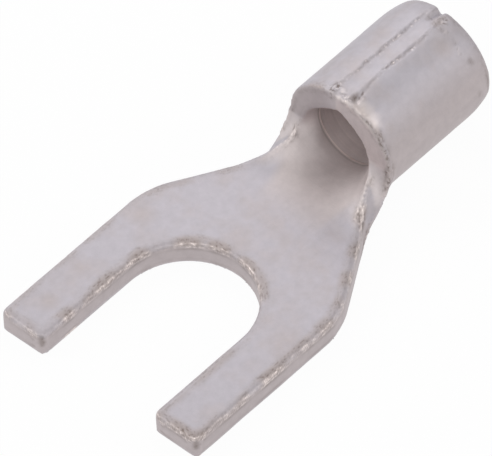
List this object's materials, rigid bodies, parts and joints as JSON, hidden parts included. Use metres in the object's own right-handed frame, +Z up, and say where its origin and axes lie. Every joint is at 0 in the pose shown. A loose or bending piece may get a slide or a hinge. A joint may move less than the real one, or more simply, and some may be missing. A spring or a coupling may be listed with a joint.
{
  "type": "fork crimp terminal",
  "caption": "Non-insulated fork terminal with a flat slotted tongue for a screw stud and a rolled, seam-brazed barrel that is crimped onto a stripped cable end.",
  "frame": {"origin": "centre of the stud slot's round end, on the underside of the tongue", "axes": "+X along the barrel towards the cable, the fork opens towards -X, +Z is up, out of the tongue's face on the side of the seam"},
  "size_m": [0.0152, 0.0076, 0.0039],
  "materials": {
    "tin_plate": "matt tin plating over copper sheet"
  },
  "bodies": {
    "root": {"fork_terminal": "tin_plate"}
  },
  "joints": []
}
